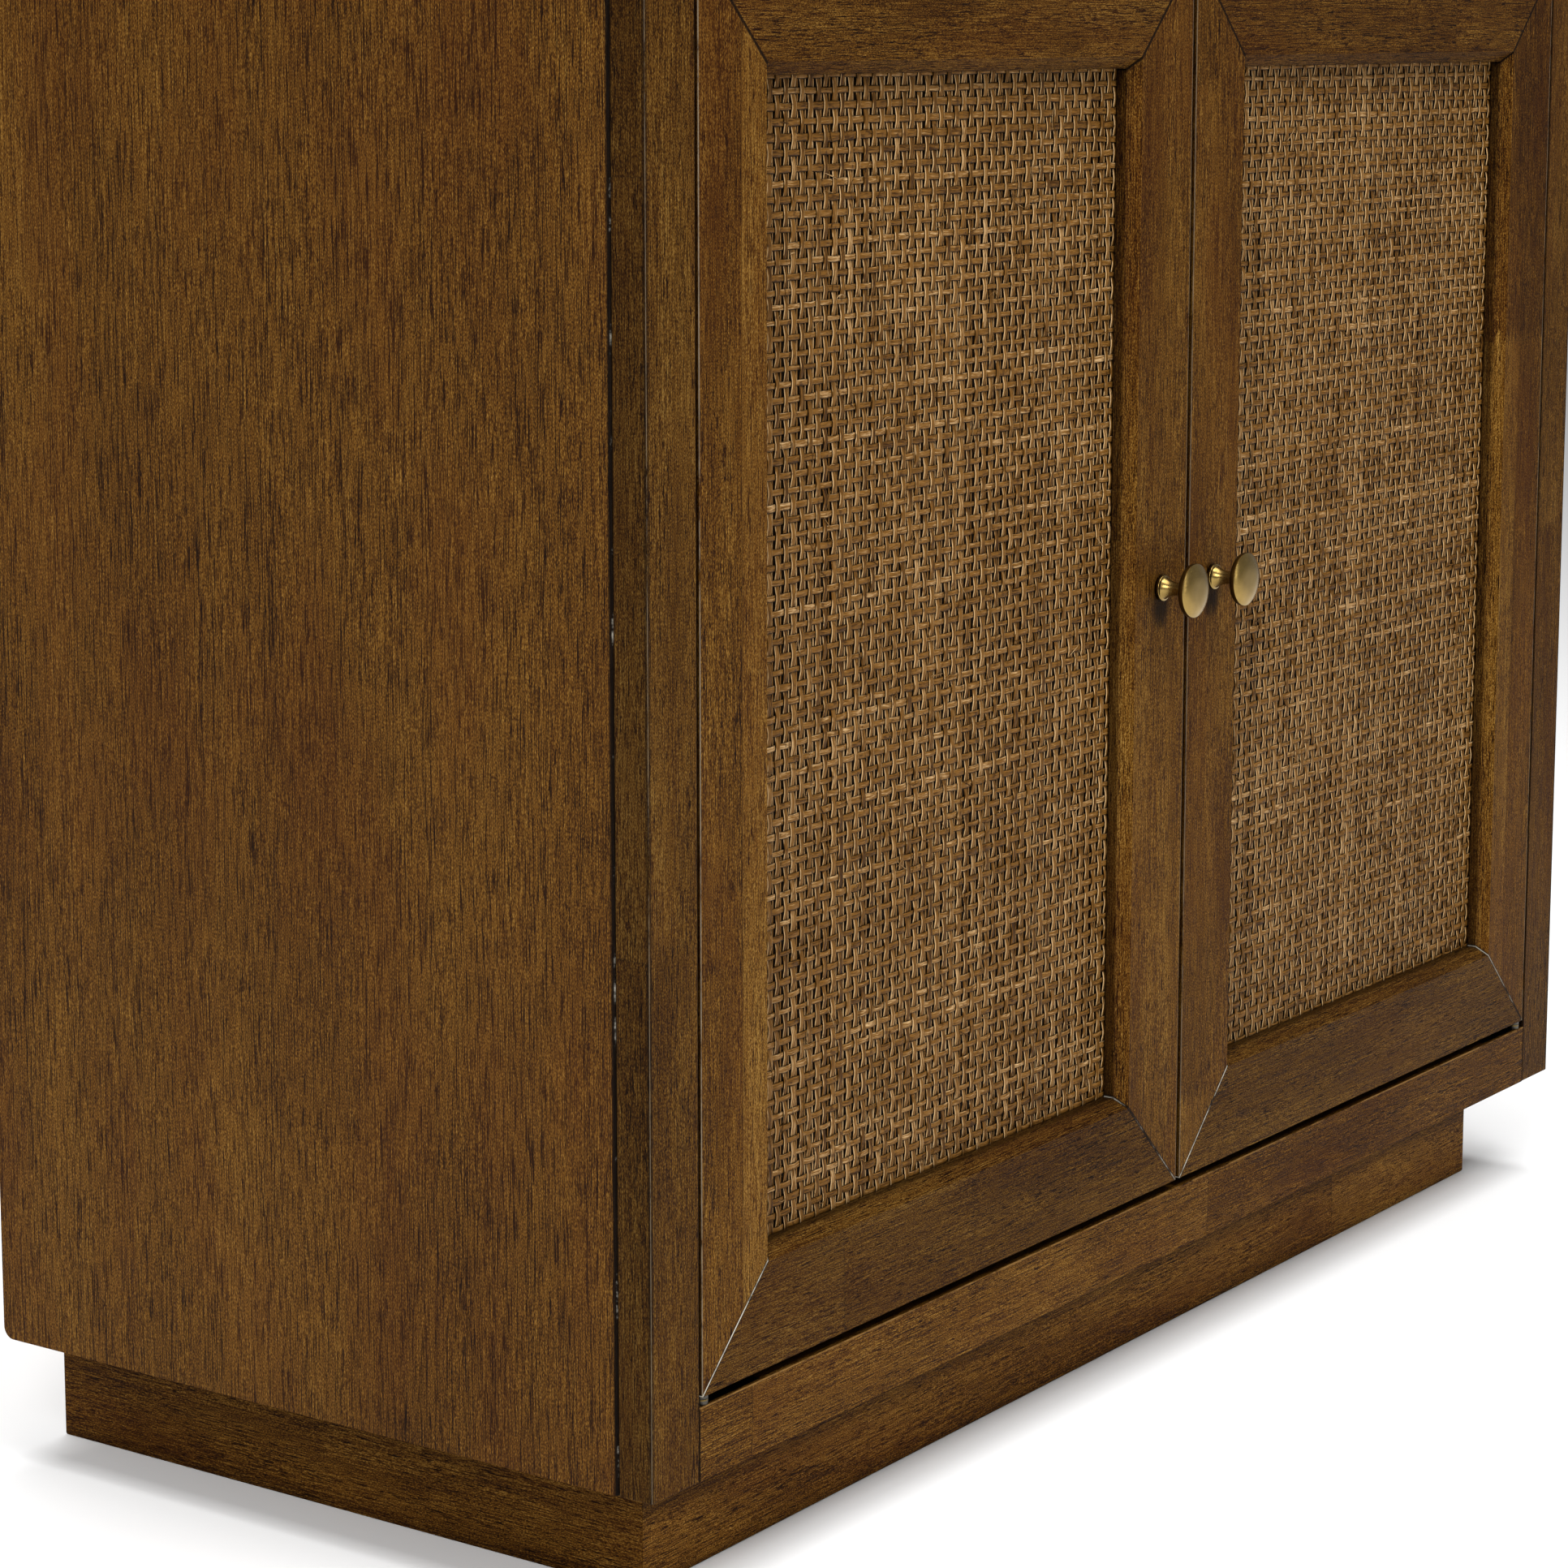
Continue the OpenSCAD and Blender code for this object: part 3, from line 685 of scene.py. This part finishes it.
def stray_lines(rng, x_range, z_range, front):
    """Split fibres that stand off the weave: short, thin and a little curved."""
    lines = []
    t = np.linspace(-0.5, 0.5, 6)
    for _ in range(STRAYS):
        x, z = rng.uniform(*x_range), rng.uniform(*z_range)
        length, turn = rng.uniform(4, 13) * MM, rng.normal(0, 0.35)
        if rng.random() < 0.25:
            turn += math.pi / 2
        bow = rng.normal(0, 0.9 * MM) * (1 - 4 * t * t)
        along = np.array([math.sin(turn), 0, math.cos(turn)])
        aside = np.array([math.cos(turn), 0, -math.sin(turn)])
        points = np.array([x, front, z]) + np.outer(t * length, along) + np.outer(bow, aside)
        points[:, 0] = np.clip(points[:, 0], *x_range)
        points[:, 2] = np.clip(points[:, 2], *z_range)
        half = rng.uniform(0.16, 0.34) * MM * (1.05 - np.abs(2 * t) ** 3)
        lines.append((points, aside, half, rng.random()))
    return lines


def weave(rng, low, high):
    """Warp and weft over a cane sheet's box, fine straight warps behind them and stray fibres before."""
    x0, x1, z0, z1 = low.x + HIDDEN_EDGE, high.x - HIDDEN_EDGE, low.z + HIDDEN_EDGE, high.z - HIDDEN_EDGE
    middle_y = (low.y + high.y) / 2 + 0.1 * MM
    xs, zs = weave_places(x0, x1, WARP_PITCH, rng), weave_places(z0, z1, WEFT_PITCH, rng)
    lines = {"warp": [], "weft": [], "fine": []}
    for i, x in enumerate(xs):
        z, sway, depth, width = weave_line(rng, zs, z0, z1, i, 3)
        points = np.stack([x + sway, middle_y + depth, z], axis=1)
        lines["warp"].append(strand_line(rng, "warp", points, X_AXIS, width))
    for j, z in enumerate(zs):
        x, sway, depth, width = weave_line(rng, xs, x0, x1, j + 1, 4)
        points = np.stack([x, middle_y + depth, z + sway], axis=1)
        lines["weft"].append(strand_line(rng, "weft", points, Z_AXIS, width))
    for x in (xs[:-1] + xs[1:]) / 2 + rng.normal(0.15 * MM, 0.12 * MM, len(xs) - 1):
        z, sway, _, width = weave_line(rng, zs, z0, z1, 0, 1)
        points = np.stack([x + sway, np.full(len(z), middle_y + WEAVE_LEAD), z], axis=1)
        lines["fine"].append(strand_line(rng, "fine", points, X_AXIS, width))
    x_range, z_range = (x0 + STRAY_EDGE, x1 - STRAY_EDGE), (z0 + STRAY_EDGE, z1 - STRAY_EDGE)
    lines["stray"] = stray_lines(rng, x_range, z_range, low.y + 0.25 * MM)
    return lines


def make_cane(side, seed, materials):
    """Real strands in place of the door's plain cane sheet."""
    node = f"door_{side}_cane"
    for kind, lines in weave(np.random.default_rng(seed), *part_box(node)).items():
        thickness, section = SECTIONS[kind]
        piece = strands(f"{node}_{kind}", lines, section, thickness * MM, materials[kind])
        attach(piece, f"door_{side}")
        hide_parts(node)


cane_materials = {kind: cane_material(f"cane_{kind}", *look) for kind, look in CANE_LOOKS.items()}
make_cane(LEFT, 11, cane_materials)
make_cane(RIGHT, 23, cane_materials)


# ---------------------------------------------------------------- knobs and fittings


def metal_material(name, colour, dull, roughness, spots=0.0):
    """Worn metal: clouded towards a dull tone, spotted where spots is above 0, and darker in hollows as
    painted shade.
    """
    s = Shader(name)
    place = s.object_place()
    cloud = s.noise(place, 3.0, 0.6, scale=180.0)
    grit = s.noise(place, 2.0, 0.7, scale=2600.0)
    mixed = s.mix(s.step(cloud, 0.3, 0.75, 0.0, 0.6), linear(colour), linear(dull))
    if spots:
        spot = s.step(s.noise(place, 2.0, 0.5, scale=700.0), 0.66, 0.75, 0.0, spots)
        mixed = s.mix(spot, mixed, linear(dull))
    # painted shade: darker in hollows and under the knob's disc
    mixed = s.shade(mixed, s.step(s.openness(16 * MM, 8), 0.1, 0.8, 0.25, 1.0))
    rough = s.add(roughness, s.mul(s.sub(grit, 0.5), 0.16))
    return s.finish(mixed, rough, s.bump(grit, 0.02 * MM), metallic=1.0)


def lathe(name, profile, centre, materials, band, steps=96):
    """Turns (radius, height) points round an axis that points out of the door, along -Y.

    The second material is on the faces whose heights lie in the band, outside its radius.
    """
    angles = np.arange(steps) * 2 * math.pi / steps
    points, faces = [], []
    for radius, height in profile:
        for a in angles:
            x, z = centre.x + radius * math.cos(a), centre.z + radius * math.sin(a)
            points.append((x, centre.y - height, z))
    for ring in range(len(profile) - 1):
        near, far = ring * steps, (ring + 1) * steps
        for k in range(steps):
            n = (k + 1) % steps
            faces.append((near + k, near + n, far + n, far + k))
    faces.append(tuple(reversed(range(steps))))
    last = (len(profile) - 1) * steps
    faces.append(tuple(range(last, last + steps)))
    mesh = bpy.data.meshes.new(name)
    mesh.from_pydata(points, [], faces)
    mesh.polygons.foreach_set("use_smooth", np.ones(len(faces), bool))
    for material in materials:
        mesh.materials.append(material)
    inner, low, high = band
    for ring, ((r0, h0), (r1, h1)) in enumerate(zip(profile, profile[1:])):
        if (r0 + r1) / 2 > inner and low < (h0 + h1) / 2 < high:
            for face in range(ring * steps, (ring + 1) * steps):
                mesh.polygons[face].material_index = 1
    piece = bpy.data.objects.new(name, mesh)
    bpy.context.scene.collection.objects.link(piece)
    return piece


def arc(centre_r, centre_h, radius, start, end, steps):
    """Points on a circle in the profile's plane, angles in degrees from the radius axis."""
    angles = np.linspace(math.radians(start), math.radians(end), steps)
    return [(centre_r + radius * math.cos(a), centre_h + radius * math.sin(a)) for a in angles]


def knob_profile(disc_r, out):
    """A thin collar, a hollow flare into the neck, and a shallow domed disc."""
    collar_r, collar_h, neck_r, under_r = 6.5 * MM, 2.4 * MM, 3.4 * MM, 8.5 * MM
    flare_end, under = 11.0 * MM, out - 4.9 * MM
    round_r, back, crest = 0.35 * MM, 1.5 * MM, 0.35 * MM
    rim_h = out - 3.6 * MM
    profile = [(collar_r - 0.2 * MM, 0.0)]
    profile += arc(collar_r - round_r, collar_h - round_r, round_r, 0, 90, 5)
    for t in np.linspace(0.0, 1.0, 14):
        radius = neck_r + (collar_r - 0.7 * MM - neck_r) * (1 - t) ** 2.6
        profile.append((radius, collar_h + (flare_end - collar_h) * t))
    for t in np.linspace(0.15, 1.0, 10):
        profile.append((neck_r + (under_r - neck_r) * t ** 5.0, flare_end + (under - flare_end) * t))
    profile += arc(disc_r - back, rim_h, back, -72, 0, 9)
    profile += arc(disc_r - crest, rim_h + 1.2 * MM, crest, 0, 56, 6)
    top_r, top_h = profile[-1]
    for t in np.linspace(0.05, 0.985, 18):
        profile.append((top_r * (1 - t), top_h + (out - top_h) * (1 - (1 - t) ** 3.6)))
    return profile


def make_knob(side, materials):
    low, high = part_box(f"door_{side}_knob")
    centre = Vector(((low.x + high.x) / 2, high.y, (low.z + high.z) / 2))
    out = high.y - low.y
    # band of the disc's edge and underside that gets the darker brass, as painted shade
    rim = (5.0 * MM, out - 6.2 * MM, out - 2.1 * MM)
    knob = lathe(f"door_{side}_round_knob", knob_profile((high.x - low.x) / 2, out), centre, materials, rim)
    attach(knob, f"door_{side}")
    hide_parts(f"door_{side}_knob")


def plastic_material():
    s = Shader("catch_plastic")
    grain = s.noise(s.object_place(), 3.0, 0.6, scale=1800.0)
    colour = s.mix(s.step(grain, 0.3, 0.7), linear("1d1511"), linear("2b211a"))
    return s.finish(colour, s.add(0.5, s.mul(grain, 0.15)), s.bump(grain, 0.04 * MM))


def dress_fittings():
    """Each metal or plastic CAD node gets the look of its material slot."""
    looks = {
        "steel": metal_material("dark_steel", "55514a", "3b3833", 0.38, spots=0.3),
        "washer_brass": metal_material("washer_brass", "6f5d38", "574726", 0.38),
        "catch_plastic": plastic_material(),
        "magnet": metal_material("ferrite", "2b2b2d", "1c1c1e", 0.6),
    }
    slots = {row["node"]: row["material_slot"] for row in frame["record"]["subparts"]}
    for name, node in frame["nodes"].items():
        if slots[name] in looks:
            node.data.materials.clear()
            node.data.materials.append(looks[slots[name]])


# the second is a darker copy of the brass for the disc's edge and underside, as painted shade
knob_materials = (metal_material("satin_brass", "937a45", "81693a", 0.25),
                  metal_material("shaded_rim_brass", "4a3413", "38260c", 0.42))
for door_side in SIDES:
    make_knob(door_side, knob_materials)
dress_fittings()
